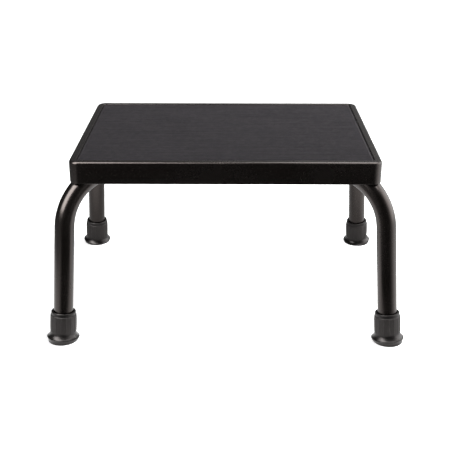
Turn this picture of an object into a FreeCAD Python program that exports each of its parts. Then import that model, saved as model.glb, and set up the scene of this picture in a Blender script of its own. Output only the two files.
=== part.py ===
"""Step stool: a pressed steel platform with a ribbed rubber tread on a crossed frame of bent tubes.

Millimetres. +X runs along the platform's length, -Y is the front and +Z is up. The origin lies on the
floor under the middle of the platform. Every size that can be set by itself is a cell of the sheet;
everything else is worked out from those cells.
"""
import FreeCAD, Part
import Sketcher
import math
import os

SIZES = [
    ("DeckWidth", 393.0, "platform, outside, along X"),
    ("DeckLength", 286.0, "platform, outside, along Y"),
    ("StoolHeight", 239.0, "floor to the top of the rim"),
    ("SkirtHeight", 29.0, "top of the rim to the bottom of the skirt"),
    ("CornerRadius", 12.7, "upright corners of the platform, outside"),
    ("SheetThickness", 1.2, "steel of the pan"),
    ("TopEdgeRadius", 3.2, "outer rounding of the rim"),
    ("SkirtEdgeRadius", 0.9, "outer rounding at the bottom of the skirt"),
    ("RimWidth", 9.5, "outside of the skirt to the edge of the recess"),
    ("RimInnerRadius", 0.8, "rounding where the rim drops into the recess"),
    ("RecessDrop", 2.2, "top of the rim to the floor of the recess"),
    ("LipWidth", 8.0, "return lip at the foot of the skirt, inward"),
    ("LipCornerGap", 52.0, "stretch without a lip, from the outside of each corner"),
    ("MatGap", 1.4, "gap between the tread and the rim"),
    ("MatCornerRadius", 4.0, "corners of the tread"),
    ("MatBase", 1.6, "tread thickness under the ribs"),
    ("MatBorder", 2.0, "plain border around the ribs"),
    ("RibPitch", 3.0, "spacing of the ribs"),
    ("RibWidth", 1.7, "width of a rib"),
    ("RibHeight", 0.8, "height of a rib"),
    ("StiffenerOffset", 105.0, "middle of the platform to the middle of a stiffener"),
    ("StiffenerCrown", 34.0, "width of a stiffener's crown, outside"),
    ("StiffenerFlange", 12.0, "width of each flange"),
    ("StiffenerDrop", 7.0, "depth of a stiffener"),
    ("StiffenerThickness", 1.5, "steel of a stiffener"),
    ("StiffenerEndGap", 2.0, "end of a stiffener to the edge of the recess"),
    ("TubeDiameter", 25.4, "outside of the leg tube"),
    ("TubeWall", 1.5, "wall of the leg tube"),
    ("BendRadius", 70.0, "bend of a leg, on its centre line"),
    ("LeanX", 3.4, "splay of a leg along X, degrees"),
    ("LeanY", 6.3, "splay of a leg along Y, degrees"),
    ("SkirtClearanceX", 1.0, "leg tube to the inside of the skirt, along X"),
    ("SkirtClearanceY", 5.5, "leg tube to the inside of the skirt, along Y"),
    ("CopeGap", 0.1, "gap between a coped tube end and the crossing tube"),
    ("WeldSize", 2.6, "radius of the weld bead"),
    ("TipHeight", 40.0, "rubber tip, along the leg"),
    ("TipFloor", 8.0, "rubber below the steel disc"),
    ("TipWall", 4.1, "rubber around the tube"),
    ("TipCollarWall", 3.3, "rubber around the tube at the mouth"),
    ("TipCollarHeight", 4.5, "height of the thinner collar at the mouth"),
    ("FlareRadius", 21.2, "widest part of the foot flare"),
    ("FlareHeight", 4.2, "floor to the widest part of the flare"),
    ("FlareTop", 11.5, "floor to the top of the flare"),
    ("FlareCurve", 12.0, "radius of the hollow side of the flare"),
    ("ContactRadius", 19.7, "foot of the tip, on the floor"),
    ("DiscThickness", 1.6, "steel disc inside a tip"),
    ("DiscClearance", 0.2, "disc to the bore of the tip"),
    ("BoltDiameter", 6.0, "bolt shank"),
    ("BoltClearance", 0.3, "bolt shank to the sides of its holes"),
    ("BoltHeadAcross", 10.0, "hexagon of the bolt and the nut, across flats"),
    ("BoltHeadHeight", 4.0, "height of the bolt head"),
    ("NutHeight", 4.8, "height of the weld nut"),
    ("BoltEndGap", 0.4, "end of the bolt to the underside of the pan"),
    ("WasherDiameter", 16.0, "saddle washer"),
    ("WasherThickness", 1.5, "saddle washer, under the tube"),
]

CORNERS = {
    "front_left": (-1, -1),
    "front_right": (1, -1),
    "rear_left": (-1, 1),
    "rear_right": (1, 1),
}
WHOLE_DIAGONAL = ("front_left", "rear_right")
COPED_CORNERS = ("front_right", "rear_left")
CUT_DEPTH = 60.0
UP = FreeCAD.Vector(0, 0, 1)

doc = FreeCAD.newDocument("StepStool")
sheet = doc.addObject("Spreadsheet::Sheet", "Sizes")
nodes = {}


def fill_sheet():
    for row, (alias, value, note) in enumerate(SIZES, start=1):
        sheet.set(f"A{row}", note)
        sheet.set(f"B{row}", str(value))
        sheet.setAlias(f"B{row}", alias)
    doc.recompute()


def size(alias):
    return float(sheet.get(alias))


def bind(feature, **expressions):
    """Bind properties to sheet expressions; a word in braces names a cell."""
    aliases = {alias: f"Sizes.{alias}" for alias, _, _ in SIZES}
    for name, expression in expressions.items():
        feature.setExpression(name.replace("__", "."), expression.format(**aliases))


def keep(feature, node):
    """Name the finished piece after its node."""
    feature.Label = node
    nodes[node] = feature
    return feature


# --- sketches and bodies -------------------------------------------------------------------------

def make_body(node):
    return keep(doc.addObject("PartDesign::Body", f"Body_{node}"), node)


def attach_sketch(body, name, plane, height=None):
    """A sketch on one of the body's own origin planes, lifted along its normal by an expression."""
    sketch = body.newObject("Sketcher::SketchObject", name)
    origin_plane = next(part for part in body.Origin.OriginFeatures if part.Role == plane)
    sketch.AttachmentSupport = [(origin_plane, "")]
    sketch.MapMode = "FlatFace"
    if height:
        bind(sketch, AttachmentOffset__Base__z=height)
    return sketch


def set_datum(sketch, index, name, expression):
    sketch.renameConstraint(index, name)
    bind(sketch, **{f"Constraints__{name}": expression})


def rounded_rectangle(body, name, height, width, length, radius):
    """A sketch of a centred rectangle with four equal round corners, all set by expressions."""
    sketch = attach_sketch(body, name, "XY_Plane", height)
    half_x = 20.0
    half_y = 15.0
    corner = 3.0
    centres = [(half_x - corner, half_y - corner), (corner - half_x, half_y - corner)]
    centres += [(corner - half_x, corner - half_y), (half_x - corner, corner - half_y)]
    for quarter, (x, y) in enumerate(centres):
        circle = Part.Circle(FreeCAD.Vector(x, y, 0), UP, corner)
        start = quarter * math.pi / 2
        sketch.addGeometry(Part.ArcOfCircle(circle, start, start + math.pi / 2), False)
    for quarter in range(4):
        first = sketch.Geometry[quarter].EndPoint
        last = sketch.Geometry[(quarter + 1) % 4].StartPoint
        sketch.addGeometry(Part.LineSegment(first, last), False)
    for quarter in range(4):
        side = 4 + quarter
        sketch.addConstraint(Sketcher.Constraint("Tangent", quarter, 2, side, 1))
        sketch.addConstraint(Sketcher.Constraint("Tangent", side, 2, (quarter + 1) % 4, 1))
    for quarter in range(1, 4):
        sketch.addConstraint(Sketcher.Constraint("Equal", 0, quarter))
    for level, upright in ((4, 5), (6, 7)):
        sketch.addConstraint(Sketcher.Constraint("Horizontal", level))
        sketch.addConstraint(Sketcher.Constraint("Vertical", upright))
    sketch.addConstraint(Sketcher.Constraint("Symmetric", 0, 3, 2, 3, -1, 1))
    wide = sketch.addConstraint(Sketcher.Constraint("DistanceX", 1, 2, 0, 1, 2 * half_x))
    set_datum(sketch, wide, "Width", width)
    long = sketch.addConstraint(Sketcher.Constraint("DistanceY", 3, 1, 0, 2, 2 * half_y))
    set_datum(sketch, long, "Length", length)
    bend = sketch.addConstraint(Sketcher.Constraint("Radius", 0, corner))
    set_datum(sketch, bend, "Radius", radius)
    return sketch


def polygon(sketch, points):
    """A closed outline of straight sides through (x, y) points."""
    corners = [FreeCAD.Vector(x, y, 0) for x, y in points]
    for first, last in zip(corners, corners[1:] + corners[:1]):
        sketch.addGeometry(Part.LineSegment(first, last), False)


def pad(body, name, sketch, length, downward=False, midplane=False):
    feature = body.newObject("PartDesign::Pad", name)
    feature.Profile = sketch
    bind(feature, Length=length)
    feature.Reversed = downward
    feature.Midplane = midplane
    doc.recompute()
    return feature


def pocket(body, name, sketch, length, upward=False):
    feature = body.newObject("PartDesign::Pocket", name)
    feature.Profile = sketch
    bind(feature, Length=length)
    feature.Reversed = upward
    doc.recompute()
    if feature.Shape.Volume >= feature.BaseFeature.Shape.Volume:
        raise RuntimeError(f"{name} cut nothing")
    return feature


def round_edges(body, name, base, height, radius, inside=None):
    """Fillet the edges that lie at one height, or only those inside a half width and half length."""
    chosen = []
    for number, edge in enumerate(base.Shape.Edges, start=1):
        box = edge.BoundBox
        level = abs(box.ZMin - height) < 1e-4 and abs(box.ZMax - height) < 1e-4
        within = inside is None
        if not within:
            reach_x = max(abs(box.XMin), abs(box.XMax))
            reach_y = max(abs(box.YMin), abs(box.YMax))
            within = reach_x <= inside[0] + 1e-4 and reach_y <= inside[1] + 1e-4
        if level and within:
            chosen.append(f"Edge{number}")
    feature = body.newObject("PartDesign::Fillet", name)
    feature.Base = (base, chosen)
    bind(feature, Radius=radius)
    doc.recompute()
    return feature


# --- platform ------------------------------------------------------------------------------------

def build_pan():
    body = make_body("platform_pan")
    top = size("StoolHeight")
    bottom = top - size("SkirtHeight")
    thickness = size("SheetThickness")
    outline = rounded_rectangle(body, "PanOutline", "{StoolHeight} - {SkirtHeight}",
                                "{DeckWidth}", "{DeckLength}", "{CornerRadius}")
    block = pad(body, "PanBlock", outline, "{SkirtHeight}")
    rim = round_edges(body, "RimRound", block, top, "{TopEdgeRadius}")
    round_edges(body, "SkirtRound", rim, bottom, "{SkirtEdgeRadius}")
    hollow = rounded_rectangle(body, "PanHollow", "{StoolHeight} - {SkirtHeight}",
                               "{DeckWidth} - 2 * {SheetThickness}",
                               "{DeckLength} - 2 * {SheetThickness}",
                               "{CornerRadius} - {SheetThickness}")
    shell = pocket(body, "PanShell", hollow, "{SkirtHeight} - {SheetThickness}", upward=True)
    round_edges(body, "InnerRound", shell, top - thickness, "{TopEdgeRadius} - {SheetThickness}")
    tray = rounded_rectangle(body, "TrayOutline", "{StoolHeight} - {SheetThickness}",
                             "{DeckWidth} - 2 * {RimWidth} + 2 * {SheetThickness}",
                             "{DeckLength} - 2 * {RimWidth} + 2 * {SheetThickness}",
                             "{MatCornerRadius} + {MatGap} + {SheetThickness}")
    pad(body, "Tray", tray, "{RecessDrop}", downward=True)
    recess = rounded_rectangle(body, "RecessOutline", "{StoolHeight}",
                               "{DeckWidth} - 2 * {RimWidth}",
                               "{DeckLength} - 2 * {RimWidth}",
                               "{MatCornerRadius} + {MatGap}")
    sunk = pocket(body, "Recess", recess, "{RecessDrop}")
    half_x = size("DeckWidth") / 2 - size("RimWidth")
    half_y = size("DeckLength") / 2 - size("RimWidth")
    round_edges(body, "RecessRound", sunk, top, "{RimInnerRadius}", inside=(half_x, half_y))
    add_return_lips(body)


def add_return_lips(body):
    """A lip turned inward along each straight side of the skirt, open at the corners for the legs."""
    half_x = size("DeckWidth") / 2
    half_y = size("DeckLength") / 2
    gap = size("LipCornerGap")
    root = size("SheetThickness") / 2
    reach = size("SheetThickness") + size("LipWidth")
    sketch = attach_sketch(body, "LipOutlines", "XY_Plane", "{StoolHeight} - {SkirtHeight}")
    for side in (-1, 1):
        long_x = half_x - gap
        long_y = half_y - gap
        outer_y = side * (half_y - root)
        inner_y = side * (half_y - reach)
        outer_x = side * (half_x - root)
        inner_x = side * (half_x - reach)
        polygon(sketch, [(-long_x, outer_y), (long_x, outer_y), (long_x, inner_y), (-long_x, inner_y)])
        polygon(sketch, [(outer_x, -long_y), (outer_x, long_y), (inner_x, long_y), (inner_x, -long_y)])
    pad(body, "ReturnLips", sketch, "{SheetThickness}")


def build_mat():
    body = make_body("tread_mat")
    floor = "{StoolHeight} - {RecessDrop}"
    outline = rounded_rectangle(body, "MatOutline", floor,
                                "{DeckWidth} - 2 * {RimWidth} - 2 * {MatGap}",
                                "{DeckLength} - 2 * {RimWidth} - 2 * {MatGap}",
                                "{MatCornerRadius}")
    pad(body, "MatSlab", outline, "{MatBase}")
    inset = size("RimWidth") + size("MatGap") + size("MatBorder")
    half_x = size("DeckWidth") / 2 - inset
    field = size("DeckLength") - 2 * inset
    count = int((field - size("RibWidth")) / size("RibPitch")) + 1
    span = (count - 1) * size("RibPitch")
    half_rib = size("RibWidth") / 2
    first = -span / 2
    sketch = attach_sketch(body, "RibOutline", "XY_Plane", floor + " + {MatBase}")
    low = first - half_rib
    high = first + half_rib
    polygon(sketch, [(-half_x, low), (half_x, low), (half_x, high), (-half_x, high)])
    rib = pad(body, "Rib", sketch, "{RibHeight}")
    ribs = body.newObject("PartDesign::LinearPattern", "Ribs")
    ribs.Originals = [rib]
    ribs.Direction = (sketch, ["V_Axis"])
    ribs.Occurrences = count
    ribs.Length = span
    body.Tip = ribs
    doc.recompute()


def build_stiffener(side_name, side):
    body = make_body(f"stiffener_{side_name}")
    sheet_steel = size("StiffenerThickness")
    top = size("StoolHeight") - size("RecessDrop") - size("SheetThickness")
    bottom = top - size("StiffenerDrop")
    crown = size("StiffenerCrown") / 2
    brim = crown + size("StiffenerFlange")
    middle = side * size("StiffenerOffset")
    sketch = attach_sketch(body, f"HatOutline_{side_name}", "XZ_Plane")
    outline = [(-brim, top), (-brim, top - sheet_steel), (-crown, top - sheet_steel), (-crown, bottom)]
    outline += [(crown, bottom), (crown, top - sheet_steel), (brim, top - sheet_steel), (brim, top)]
    outline += [(crown - sheet_steel, top), (crown - sheet_steel, bottom + sheet_steel)]
    outline += [(sheet_steel - crown, bottom + sheet_steel), (sheet_steel - crown, top)]
    polygon(sketch, [(middle + x, z) for x, z in outline])
    length = "{DeckLength} - 2 * {RimWidth} - 2 * {StiffenerEndGap}"
    pad(body, f"Hat_{side_name}", sketch, length, midplane=True)
    holes = attach_sketch(body, f"HatHoles_{side_name}", "XY_Plane")
    for corner, (x, y) in CORNERS.items():
        if x == side:
            centre = bolt_point(corner)
            circle = Part.Circle(FreeCAD.Vector(centre.x, centre.y, 0), UP, bolt_hole_radius())
            holes.addGeometry(circle, False)
    flange_underside = "{StoolHeight} - {RecessDrop} - {SheetThickness} - {StiffenerThickness}"
    pocket(body, f"HatHoleCut_{side_name}", holes, flange_underside, upward=True)


# --- leg layout ----------------------------------------------------------------------------------

def run_height():
    """Centre of the tubes under the deck: they touch the stiffeners, which touch the pan."""
    drop = size("RecessDrop") + size("SheetThickness") + size("StiffenerDrop")
    return size("StoolHeight") - drop - size("TubeDiameter") / 2


def lean_slopes():
    return math.tan(math.radians(size("LeanX"))), math.tan(math.radians(size("LeanY")))


def bend_tangent(angle):
    """Distance from a leg's virtual corner to the ends of its bend, for a run at this plan angle."""
    slope_x, slope_y = lean_slopes()
    inward = slope_x * math.cos(angle) + slope_y * math.sin(angle)
    turn = math.acos(inward / math.sqrt(1 + slope_x ** 2 + slope_y ** 2))
    return size("BendRadius") * math.tan(turn / 2)


def skirt_reach(along, across):
    """How far the bend stands out past its centre, in one plan direction, level with the skirt's foot."""
    radius = size("TubeDiameter") / 2
    above_centre = size("StoolHeight") - size("SkirtHeight") - run_height() + size("BendRadius")
    furthest = 0.0
    for degree in range(91):
        turn = math.radians(degree)
        outer = size("BendRadius") + radius * math.cos(turn)
        out = math.sqrt(max(outer ** 2 - above_centre ** 2, 0.0))
        furthest = max(furthest, out * along + radius * math.sin(turn) * across)
    return furthest


def leg_corner():
    """Where a leg's centre line would meet the run's: the tube then clears the skirt by its clearance."""
    edge_x = size("DeckWidth") / 2 - size("SheetThickness") - size("SkirtClearanceX")
    edge_y = size("DeckLength") / 2 - size("SheetThickness") - size("SkirtClearanceY")
    angle = math.atan2(edge_y, edge_x)
    for _ in range(40):
        tangent = bend_tangent(angle)
        along = math.cos(angle)
        across = math.sin(angle)
        corner_x = edge_x + tangent * along - skirt_reach(along, across)
        corner_y = edge_y + tangent * across - skirt_reach(across, along)
        angle = math.atan2(corner_y, corner_x)
    return corner_x, corner_y


def run_direction(corner):
    """Unit vector from the leg towards the middle of the deck."""
    side_x, side_y = CORNERS[corner]
    corner_x, corner_y = leg_corner()
    direction = FreeCAD.Vector(-side_x * corner_x, -side_y * corner_y, 0)
    return direction.normalize()


def leg_direction(corner):
    """Unit vector up the leg, which leans in towards the middle."""
    side_x, side_y = CORNERS[corner]
    slope_x, slope_y = lean_slopes()
    return FreeCAD.Vector(-side_x * slope_x, -side_y * slope_y, 1).normalize()


def foot_point(corner):
    """Where the leg's centre line meets the floor."""
    side_x, side_y = CORNERS[corner]
    corner_x, corner_y = leg_corner()
    slope_x, slope_y = lean_slopes()
    rise = run_height()
    return FreeCAD.Vector(side_x * (corner_x + slope_x * rise), side_y * (corner_y + slope_y * rise), 0)


def along_leg(corner, distance):
    return foot_point(corner) + leg_direction(corner) * distance


def bolt_point(corner):
    """Where the run crosses the middle of its stiffener, at the run's height."""
    side_x, _ = CORNERS[corner]
    inward = run_direction(corner)
    offset = side_x * size("StiffenerOffset")
    return FreeCAD.Vector(offset, offset * inward.y / inward.x, run_height())


def bolt_hole_radius():
    return size("BoltDiameter") / 2 + size("BoltClearance")


def tube_start():
    return size("TipFloor") + size("DiscThickness")


def leg_edges(corner):
    """Leg, bend and where the run starts: the two edges and the run's first point."""
    side_x, side_y = CORNERS[corner]
    corner_x, corner_y = leg_corner()
    inward = run_direction(corner)
    upward = leg_direction(corner)
    meeting = FreeCAD.Vector(side_x * corner_x, side_y * corner_y, run_height())
    tangent = bend_tangent(math.atan2(corner_y, corner_x))
    low = meeting - upward * tangent
    high = meeting + inward * tangent
    towards_centre = (inward - upward * (inward * upward)).normalize()
    centre = low + towards_centre * size("BendRadius")
    middle = centre + (meeting - centre).normalize() * size("BendRadius")
    leg = Part.LineSegment(along_leg(corner, tube_start()), low).toShape()
    bend = Part.Arc(low, middle, high).toShape()
    return leg, bend, high


def path_feature(name, edges):
    """The centre line of a tube, or the seam of a weld."""
    feature = doc.addObject("Part::Feature", name)
    feature.Shape = Part.Wire(edges)
    return feature


# --- tubes ---------------------------------------------------------------------------------------

def sweep(name, path, start, direction, radius):
    """A round bar along a path; its radius is a sheet expression."""
    profile = doc.addObject("Part::Circle", f"{name}Profile")
    bind(profile, Radius=radius)
    profile.Placement = FreeCAD.Placement(start, FreeCAD.Rotation(UP, direction))
    bar = doc.addObject("Part::Sweep", name)
    bar.Sections = [profile]
    bar.Spine = (path, [f"Edge{number}" for number in range(1, len(path.Shape.Edges) + 1)])
    bar.Solid = True
    bar.Frenet = False
    return bar


def cylinder(name, radius, length, base, direction=UP):
    feature = doc.addObject("Part::Cylinder", name)
    bind(feature, Radius=radius)
    if isinstance(length, str):
        bind(feature, Height=length)
    else:
        feature.Height = length
    feature.Placement = FreeCAD.Placement(base, FreeCAD.Rotation(UP, direction))
    return feature


def cut(name, base, tools):
    """Take one or more tools out of a base."""
    tool = tools[0]
    if len(tools) > 1:
        tool = doc.addObject("Part::MultiFuse", f"{name}Tools")
        tool.Shapes = tools
    feature = doc.addObject("Part::Cut", name)
    feature.Base = base
    feature.Tool = tool
    return feature


def bolt_hole(corner, purpose):
    base = bolt_point(corner) - UP * (CUT_DEPTH / 2)
    return cylinder(f"Hole_{purpose}_{corner}", "{BoltDiameter} / 2 + {BoltClearance}", CUT_DEPTH, base)


def build_whole_tube():
    """The diagonal made of one tube: a leg, a bend, the run and the same again."""
    first, last = WHOLE_DIAGONAL
    leg_a, bend_a, run_a = leg_edges(first)
    leg_b, bend_b, run_b = leg_edges(last)
    run = Part.LineSegment(run_a, run_b).toShape()
    path = path_feature("WholeTubePath", [leg_a, bend_a, run, bend_b, leg_b])
    start = along_leg(first, tube_start())
    direction = leg_direction(first)
    outer = sweep("WholeTubeOuter", path, start, direction, "{TubeDiameter} / 2")
    bore = sweep("WholeTubeBore", path, start, direction, "{TubeDiameter} / 2 - {TubeWall}")
    holes = [bolt_hole(corner, "tube") for corner in WHOLE_DIAGONAL]
    tube = cut("WholeTube", outer, [bore] + holes)
    keep(tube, "leg_tube_" + "_to_".join(WHOLE_DIAGONAL))
    return outer


def build_coped_tube(corner):
    """Half of the other diagonal: its inner end is coped to fit against the whole tube."""
    leg, bend, run_start = leg_edges(corner)
    run = Part.LineSegment(run_start, FreeCAD.Vector(0, 0, run_height())).toShape()
    path = path_feature(f"CopedTubePath_{corner}", [leg, bend, run])
    start = along_leg(corner, tube_start())
    direction = leg_direction(corner)
    outer = sweep(f"CopedTubeOuter_{corner}", path, start, direction, "{TubeDiameter} / 2")
    bore = sweep(f"CopedTubeBore_{corner}", path, start, direction, "{TubeDiameter} / 2 - {TubeWall}")
    across = run_direction(WHOLE_DIAGONAL[0])
    reach = size("TubeDiameter") * 4
    base = FreeCAD.Vector(0, 0, run_height()) - across * (reach / 2)
    cope = cylinder(f"Cope_{corner}", "{TubeDiameter} / 2 + {CopeGap}", reach, base, across)
    tube = cut(f"CopedTube_{corner}", outer, [bore, cope, bolt_hole(corner, "tube")])
    keep(tube, f"leg_tube_{corner}")
    return outer


def build_beads(corner, tube_outers):
    """The beads round one coped end: two upright half ellipses, each halfway between the tubes."""
    radius = size("TubeDiameter") / 2
    centre = FreeCAD.Vector(0, 0, run_height())
    whole = run_direction(WHOLE_DIAGONAL[0])
    coped = run_direction(corner) * -1
    seams = []
    for name, side in (("near", 1), ("far", -1)):
        bisector = (coped + whole * side).normalize()
        reach = radius / math.sin(math.acos(bisector * coped))
        ellipse = Part.Ellipse(centre + bisector * reach, centre + UP * radius, centre)
        seam = Part.Arc(ellipse, -math.pi / 2, math.pi / 2).toShape()
        path = path_feature(f"Seam_{name}_{corner}", [seam])
        start = seam.valueAt(seam.FirstParameter)
        direction = seam.tangentAt(seam.FirstParameter)
        seams.append(sweep(f"Bead_{name}_{corner}", path, start, direction, "{WeldSize}"))
    return [cut(f"Weld_{corner}_{number}", seam, tube_outers) for number, seam in enumerate(seams, start=1)]


def build_centre_weld(outers):
    """The weld where the tubes cross: the beads of both coped ends run into each other."""
    whole = outers[WHOLE_DIAGONAL[0]]
    beads = []
    for corner in COPED_CORNERS:
        beads += build_beads(corner, [whole, outers[corner]])
    weld = doc.addObject("Part::MultiFuse", "CentreWeld")
    weld.Shapes = beads
    keep(weld, "centre_weld")


# --- rubber tips ---------------------------------------------------------------------------------

def build_tip(corner):
    """A rubber tip turned about its leg's centre line, with its foot worn flat on the floor."""
    body = doc.addObject("PartDesign::Body", f"TipBody_{corner}")
    sketch = attach_sketch(body, f"TipProfile_{corner}", "XZ_Plane")
    bore = size("TubeDiameter") / 2
    barrel = bore + size("TipWall")
    collar = bore + size("TipCollarWall")
    mouth = size("TipHeight")
    shoulder = mouth - size("TipCollarHeight")
    lip = size("FlareRadius")
    contact = size("ContactRadius")
    below = -size("TipFloor") / 2
    points = [(0, below), (contact, below), (contact, 0), (lip, size("FlareHeight"))]
    hollow_end = (barrel, size("FlareTop"))
    rest = [hollow_end, (barrel, shoulder), (collar, shoulder), (collar, mouth), (bore, mouth)]
    rest += [(bore, size("TipFloor")), (0, size("TipFloor")), (0, below)]
    for first, last in zip(points, points[1:]):
        sketch.addGeometry(Part.LineSegment(flat(first), flat(last)), False)
    sketch.addGeometry(hollow_arc(flat(points[-1]), flat(hollow_end), size("FlareCurve")), False)
    for first, last in zip(rest, rest[1:]):
        sketch.addGeometry(Part.LineSegment(flat(first), flat(last)), False)
    turned = body.newObject("PartDesign::Revolution", f"TipTurned_{corner}")
    turned.Profile = sketch
    turned.ReferenceAxis = (sketch, ["V_Axis"])
    turned.Angle = 360
    body.Placement = FreeCAD.Placement(foot_point(corner), FreeCAD.Rotation(UP, leg_direction(corner)))
    ground = doc.addObject("Part::Box", f"Ground_{corner}")
    bind(ground, Length="4 * {FlareRadius}", Width="4 * {FlareRadius}", Height="4 * {TipFloor}")
    half = 2 * size("FlareRadius")
    ground.Placement.Base = foot_point(corner) - FreeCAD.Vector(half, half, 4 * size("TipFloor"))
    keep(cut(f"Tip_{corner}", body, [ground]), f"foot_tip_{corner}")


def flat(point):
    return FreeCAD.Vector(point[0], point[1], 0)


def hollow_arc(first, last, radius):
    """An arc from the lip up to the barrel that curves in towards the leg."""
    chord = last - first
    middle = (first + last) * 0.5
    inward = FreeCAD.Vector(-chord.y, chord.x, 0).normalize()
    rise = radius - math.sqrt(max(radius ** 2 - (chord.Length / 2) ** 2, 0.0))
    return Part.Arc(first, middle + inward * rise, last)


def build_disc(corner):
    radius = "{TubeDiameter} / 2 - {DiscClearance}"
    disc = cylinder(f"Disc_{corner}", radius, "{DiscThickness}",
                    along_leg(corner, size("TipFloor")), leg_direction(corner))
    keep(disc, f"tip_disc_{corner}")


# --- fixings -------------------------------------------------------------------------------------

def hexagon(name, across, height, base):
    feature = doc.addObject("Part::Prism", name)
    feature.Polygon = 6
    bind(feature, Circumradius=f"{across} / sqrt(3)", Height=height)
    feature.Placement.Base = base
    return feature


def build_fixing(corner, tube_outer):
    """A bolt up through a saddle washer, the tube and its stiffener into a weld nut."""
    centre = bolt_point(corner)
    radius = size("TubeDiameter") / 2
    washer_bottom = centre - UP * (radius + size("WasherThickness"))
    pan_underside = size("StoolHeight") - size("RecessDrop") - size("SheetThickness")
    nut_seat = pan_underside - size("StiffenerDrop") + size("StiffenerThickness")
    head = hexagon(f"Head_{corner}", "{BoltHeadAcross}", "{BoltHeadHeight}",
                   washer_bottom - UP * size("BoltHeadHeight"))
    shank_length = pan_underside - size("BoltEndGap") - washer_bottom.z
    shank = cylinder(f"Shank_{corner}", "{BoltDiameter} / 2", shank_length, washer_bottom)
    bolt = doc.addObject("Part::Fuse", f"Bolt_{corner}")
    bolt.Base = head
    bolt.Tool = shank
    keep(bolt, f"leg_bolt_{corner}")
    blank = cylinder(f"WasherBlank_{corner}", "{WasherDiameter} / 2",
                     "{WasherThickness} + {TubeDiameter} / 2", washer_bottom)
    keep(cut(f"Washer_{corner}", blank, [tube_outer, bolt_hole(corner, "washer")]),
         f"saddle_washer_{corner}")
    nut = hexagon(f"NutBlank_{corner}", "{BoltHeadAcross}", "{NutHeight}",
                  FreeCAD.Vector(centre.x, centre.y, nut_seat))
    thread = cylinder(f"NutThread_{corner}", "{BoltDiameter} / 2", CUT_DEPTH,
                      FreeCAD.Vector(centre.x, centre.y, nut_seat - CUT_DEPTH / 2))
    keep(cut(f"Nut_{corner}", nut, [thread]), f"weld_nut_{corner}")


# --- checks and files ----------------------------------------------------------------------------

def check_document():
    doc.recompute()
    for feature in doc.Objects:
        if "Invalid" in feature.State or "Error" in feature.State:
            raise RuntimeError(f"{feature.Name} failed: {feature.State}")
    for node, feature in nodes.items():
        if feature.Shape.isNull() or not feature.Shape.isValid():
            raise RuntimeError(f"{node} has no valid shape")
        if not feature.Shape.Solids:
            raise RuntimeError(f"{node} has no solid")


def write_nodes():
    os.makedirs("parts", exist_ok=True)
    for node, feature in nodes.items():
        feature.Shape.exportStep(f"parts/{node}.step")
        box = feature.Shape.BoundBox
        print(f"{node}: {feature.Shape.Volume:.0f} mm3, {len(feature.Shape.Solids)} solid(s), "
              f"z {box.ZMin:.2f} to {box.ZMax:.2f}")


def main():
    fill_sheet()
    build_pan()
    build_mat()
    build_stiffener("left", -1)
    build_stiffener("right", 1)
    outers = dict.fromkeys(WHOLE_DIAGONAL, build_whole_tube())
    for corner in COPED_CORNERS:
        outers[corner] = build_coped_tube(corner)
    build_centre_weld(outers)
    for corner in CORNERS:
        build_tip(corner)
        build_disc(corner)
        build_fixing(corner, outers[corner])
    check_document()
    write_nodes()


main()
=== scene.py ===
"""Step stool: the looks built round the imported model, laid out as an add-on and run as a script."""
import math

import bmesh
import bpy
from bpy.props import FloatProperty, FloatVectorProperty, IntProperty, PointerProperty
from mathutils import Matrix, Vector


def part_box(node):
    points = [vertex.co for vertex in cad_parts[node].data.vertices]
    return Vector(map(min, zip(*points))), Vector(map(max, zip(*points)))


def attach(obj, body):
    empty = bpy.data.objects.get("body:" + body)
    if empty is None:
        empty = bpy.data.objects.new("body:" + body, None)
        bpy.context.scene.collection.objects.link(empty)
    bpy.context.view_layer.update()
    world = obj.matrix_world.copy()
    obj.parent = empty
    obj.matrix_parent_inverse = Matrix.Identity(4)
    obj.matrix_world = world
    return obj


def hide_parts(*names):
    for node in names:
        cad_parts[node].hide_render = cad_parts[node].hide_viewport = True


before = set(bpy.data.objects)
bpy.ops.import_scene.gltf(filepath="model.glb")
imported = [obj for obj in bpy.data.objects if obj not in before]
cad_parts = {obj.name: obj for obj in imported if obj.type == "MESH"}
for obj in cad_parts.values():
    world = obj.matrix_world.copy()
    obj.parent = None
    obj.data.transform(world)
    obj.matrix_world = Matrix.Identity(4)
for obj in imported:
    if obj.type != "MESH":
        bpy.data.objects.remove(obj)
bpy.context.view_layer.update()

bl_info = {
    "name": "Step stool",
    "version": (1, 0, 0),
    "blender": (4, 5, 0),
    "location": "View3D > Sidebar > Step stool",
    "description": "Builds a steel step stool with a ribbed rubber tread and flared rubber tips",
    "category": "Add Mesh",
}

BODY = "root"
UP = Vector((0, 0, 1))
CORNERS = {"front_left": (-1, -1), "front_right": (1, -1), "rear_left": (-1, 1), "rear_right": (1, 1)}
WHOLE_DIAGONAL = ("front_left", "rear_right")
COPED_CORNERS = ("front_right", "rear_left")
SMOOTH_ANGLE = math.radians(34)
BEND_STEPS = 32       # rings round one bend of a leg
UPRIGHT_STEPS = 12    # lengths of one straight leg
RUN_STEPS = 8         # lengths of the straight run between the two bends of the whole tube
HALF_RUN_STEPS = 4    # lengths of a coped tube's run
FLAT_WEIGHT = 80      # how strongly flat faces lead the weighted normals
FLOAT, VECTOR = "NodeSocketFloat", "NodeSocketVector"

PAN_LOW, PAN_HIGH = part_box("platform_pan")
MAT_LOW, MAT_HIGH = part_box("tread_mat")
HAT_LOW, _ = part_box("stiffener_left")


# --- sizes and colours a user would change ---

def length(name, note, value):
    return FloatProperty(name=name, description=note, default=value, min=0.0, precision=5, unit="LENGTH")


def angle(name, note, degrees):
    return FloatProperty(name=name, description=note, default=math.radians(degrees), subtype="ANGLE")


def share(name, note, value):
    return FloatProperty(name=name, description=note, default=value, min=0.0, max=1.0, subtype="FACTOR")


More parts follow.
